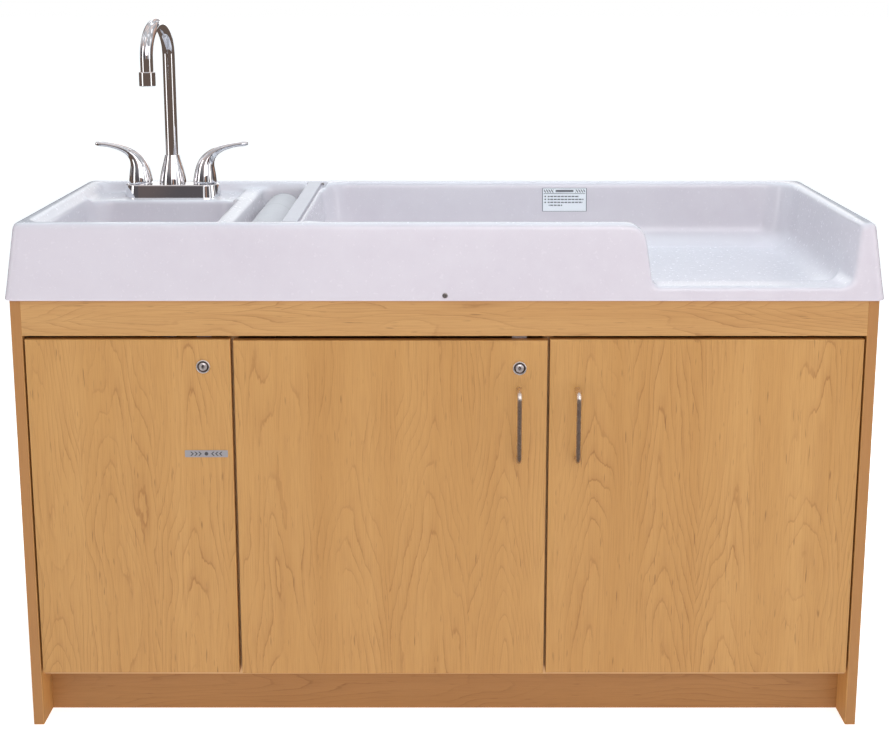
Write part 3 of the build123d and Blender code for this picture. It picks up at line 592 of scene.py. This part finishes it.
for seed, node in enumerate(("left_door", "middle_door", "right_door")):
    paint(node, maple(f"maple_{node}", maple_tones, 1.7 + 2.3 * seed))
for seed, node in enumerate(("left_side_panel", "right_side_panel")):
    paint(node, maple(f"maple_{node}", maple_tones, 11.3 + 3.1 * seed, True, edge_colour))
paint("top_rail", maple("maple_rail_veneer", rail_tones, 21.4, False))
# the toe board's maple carries painted shade in its darker tones
paint("toe_board", maple("maple_toe_veneer_painted_shade", toe_tones_painted_shade, 27.9, False, None, 0.8))


# ---------------------------------------------------------------- board edges
same_point = 0.00002         # vertices closer than this are one
edge_ease = 0.0008

for node in ("left_side_panel", "right_side_panel", "top_rail", "toe_board", "left_partition",
             "right_partition", "middle_shelf", "right_shelf", "rear_rail"):
    weld = nodes[node].modifiers.new("weld", "WELD")
    weld.merge_threshold = same_point
    ease = nodes[node].modifiers.new("eased_edges", "BEVEL")
    ease.width = edge_ease
    ease.segments = 2
    ease.limit_method = "ANGLE"
    ease.angle_limit = math.radians(50)


# ---------------------------------------------------------------- pieces
def keep(name, mesh, body, material):
    """Link a finished mesh as a piece that rides a body."""
    obj = bpy.data.objects.new(name, mesh)
    bpy.context.scene.collection.objects.link(obj)
    mesh.materials.clear()
    mesh.materials.append(material)
    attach(obj, body)
    return obj


def settled(obj):
    """The mesh of an object with its modifiers worked out, and the object removed."""
    bpy.context.view_layer.update()
    graph = bpy.context.evaluated_depsgraph_get()
    mesh = bpy.data.meshes.new_from_object(obj.evaluated_get(graph), depsgraph=graph)
    bpy.data.objects.remove(obj)
    return mesh


def soft_copy(node, voxel, rounds, weight):
    """Closed copy of a CAD node whose edges are rounded where weight(point) asks for it."""
    mesh = nodes[node].data.copy()
    work = bmesh.new()
    work.from_mesh(mesh)
    bmesh.ops.remove_doubles(work, verts=work.verts, dist=same_point)
    work.to_mesh(mesh)
    work.free()
    shape = bpy.data.objects.new("work", mesh)
    bpy.context.scene.collection.objects.link(shape)
    remesh = shape.modifiers.new("remesh", "REMESH")
    remesh.mode = "VOXEL"
    remesh.voxel_size = voxel
    mesh = settled(shape)

    shape = bpy.data.objects.new("work", mesh)
    bpy.context.scene.collection.objects.link(shape)
    group = shape.vertex_groups.new(name="soften")
    for vertex in mesh.vertices:
        group.add([vertex.index], weight(vertex.co), "REPLACE")
    smooth = shape.modifiers.new("smooth", "SMOOTH")
    smooth.factor = 0.5
    smooth.iterations = rounds
    smooth.vertex_group = "soften"
    mesh = settled(shape)
    for polygon in mesh.polygons:
        polygon.use_smooth = True
    return mesh


deck_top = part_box("support_deck")[1].z
lip_height = 0.006
soften_over = 0.02
top_voxel = 0.003
top_rounds = 32


def top_softness(point):
    """Little at the skirt's lip, full a few centimetres above it."""
    return min(1.0, max(0.12, (point.z - deck_top - lip_height) / soften_over))


top_mesh = soft_copy("moulded_top", top_voxel, top_rounds, top_softness)
top = keep("moulded_top_skin", top_mesh, "cabinet", top_plastic)
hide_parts("moulded_top")


def add_screw(work, seat, normal, up, radius, height, shank_radius, shank_length):
    """Pan-head screw with a cross recess, its seat on a point and its head along a normal."""
    rings, spokes = 16, 48
    levels = []

    def circle(share, lift):
        return [work.verts.new((share * radius * math.cos(2 * math.pi * k / spokes),
                                share * radius * math.sin(2 * math.pi * k / spokes),
                                lift)) for k in range(spokes)]

    def arm(along, across):
        return (max(0.0, 1 - (abs(across) / (0.20 * radius)) ** 4)
                * max(0.0, 1 - (abs(along) / (0.66 * radius)) ** 6))

    crown = work.verts.new((0, 0, 0.2 * height))
    for ring in range(1, rings + 1):
        share = ring / rings
        levels.append(circle(share, height * (1 - 0.5 * share ** 3)))
        for vertex in levels[-1]:
            depth = max(arm(vertex.co.x, vertex.co.y), arm(vertex.co.y, vertex.co.x))
            vertex.co.z -= 0.8 * height * depth
    levels.append(circle(1.0, 0.0))
    shank = shank_radius / radius
    levels.append(circle(shank, 0.0))
    levels.append(circle(shank, -shank_length))
    for k in range(spokes):
        work.faces.new((crown, levels[0][k], levels[0][(k + 1) % spokes]))
    for inner, outer in zip(levels, levels[1:]):
        for k in range(spokes):
            after = (k + 1) % spokes
            work.faces.new((inner[k], outer[k], outer[after], inner[after]))
    work.faces.new(list(reversed(levels[-1])))
    side = up.cross(normal).normalized()
    turn = Matrix((side, normal.cross(side), normal)).transposed().to_4x4()
    turn.translation = seat
    made = [crown, *(vertex for level in levels for vertex in level)]
    bmesh.ops.transform(work, matrix=turn, verts=made)


def finished(name, work, sharp_angle=40):
    """Mesh from a bmesh, smooth but for edges sharper than an angle."""
    bmesh.ops.recalc_face_normals(work, faces=work.faces)
    mesh = bpy.data.meshes.new(name)
    work.to_mesh(mesh)
    work.free()
    mesh.shade_smooth()
    mesh.set_sharp_from_angle(angle=math.radians(sharp_angle))
    return mesh


screw_z = 0.823
skirt_foot_z = 0.813
skirt_front_y, skirt_back_y = -0.292, 0.318
skirt_half_width = 0.778
skirt_middle_x, skirt_middle_y = 0.001, 0.013
skirt_slope = math.atan(0.017 / 0.136)       # the skirt leans in by 17 mm over its height of 136 mm
head_radius, head_height = 0.0047, 0.0012
shank_radius, shank_length = 0.0021, 0.016
out, up_part = math.cos(skirt_slope), math.sin(skirt_slope)
lean_in = math.tan(skirt_slope) * (screw_z - skirt_foot_z)
work = bmesh.new()
for place, normal in (
    ((skirt_middle_x, skirt_front_y + lean_in, screw_z), (0, -out, up_part)),
    ((skirt_middle_x, skirt_back_y - lean_in, screw_z), (0, out, up_part)),
    ((-skirt_half_width + lean_in, skirt_middle_y, screw_z), (-out, 0, up_part)),
    ((skirt_half_width - lean_in, skirt_middle_y, screw_z), (out, 0, up_part)),
):
    add_screw(work, Vector(place), Vector(normal), Vector((0, 0, 1)),
              head_radius, head_height, shank_radius, shank_length)
screws = keep("skirt_screw_set", finished("skirt_screw_set", work), "cabinet", dark_steel)
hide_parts("skirt_screws")


def wound_roll():
    """Paper wound in a spiral on its core, with a loose end that thins out."""
    low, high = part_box("paper_roll")
    middle_x, middle_z = (low.x + high.x) / 2, (low.z + high.z) / 2
    inner, outer = 0.0191, (high.x - low.x) / 2 - 0.0003
    turns, per_turn = 13, 60
    tapered = 10                 # steps over which the loose end thins out
    pitch = (outer - inner) / (turns + 1)
    full_thickness = pitch * 0.93
    edge = 0.12 * pitch
    count = turns * per_turn
    work = bmesh.new()
    sections = []
    for step in range(count + 1):
        angle = 2 * math.pi * step / per_turn - 1.2
        radius = inner + pitch * step / per_turn
        shy = 0.0007 * (1 + math.sin(3.1 * step / per_turn * 2 * math.pi / 7.3)) + 0.0001
        thick = full_thickness * min(1.0, (count + 2 - step) / (tapered + 2))
        ring = []
        for y in (low.y + shy, high.y - shy):
            for distance, inset in ((radius, edge), (radius + edge, 0), (radius + thick - edge, 0),
                                    (radius + thick, edge)):
                place_y = y + inset if y < 0 else y - inset
                ring.append(work.verts.new((middle_x + distance * math.cos(angle), place_y,
                                            middle_z + distance * math.sin(angle))))
        sections.append([ring[k] for k in (0, 1, 2, 3, 7, 6, 5, 4)])
    for before, after in zip(sections, sections[1:]):
        for k in range(8):
            follow = (k + 1) % 8
            work.faces.new((before[k], before[follow], after[follow], after[k]))
    work.faces.new(list(reversed(sections[0])))
    work.faces.new(sections[-1])
    return finished("wound_roll", work, 50)


roll = keep("wound_paper_roll", wound_roll(), "roll", paper)
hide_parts("paper_roll")


# ---------------------------------------------------------------- floor
floor_half_size = 60.0
floor_drop = 0.0005          # keeps the floor just clear of the feet

floor_mesh = bpy.data.meshes.new("studio_floor")
work = bmesh.new()
bmesh.ops.create_grid(work, x_segments=24, y_segments=24, size=floor_half_size)
work.to_mesh(floor_mesh)
work.free()
floor = bpy.data.objects.new("studio_floor", floor_mesh)
floor.location = (0, 0, -floor_drop)
bpy.context.scene.collection.objects.link(floor)
g = Graph("studio_floor_finish")
g.finish(g.mix(g.noise(g.place, 1.5, 2.0), (0.90, 0.90, 0.90, 1), (0.88, 0.88, 0.88, 1)), 0.75)
lift_seen = glow(g.tree, (1, 1, 1, 1), 0.77, "ShaderNodeEmission")
lift_light = glow(g.tree, (1.0, 0.90, 0.95, 1), 0.74, "ShaderNodeEmission")
white_floor = g.tree.nodes.new("ShaderNodeAddShader")
g.link(g.shader.outputs[0], white_floor.inputs[0])
g.link(by_ray(g.tree, "Is Camera Ray", lift_light.outputs[0], lift_seen.outputs[0]), white_floor.inputs[1])
mirrored_floor = glow(g.tree, (0.15, 0.11, 0.09, 1), 1.0, "ShaderNodeEmission")
floor_shader = by_ray(g.tree, "Is Glossy Ray", white_floor.outputs[0], mirrored_floor.outputs[0])
g.link(floor_shader, g.out.inputs["Surface"])
floor_mesh.materials.append(g.material)
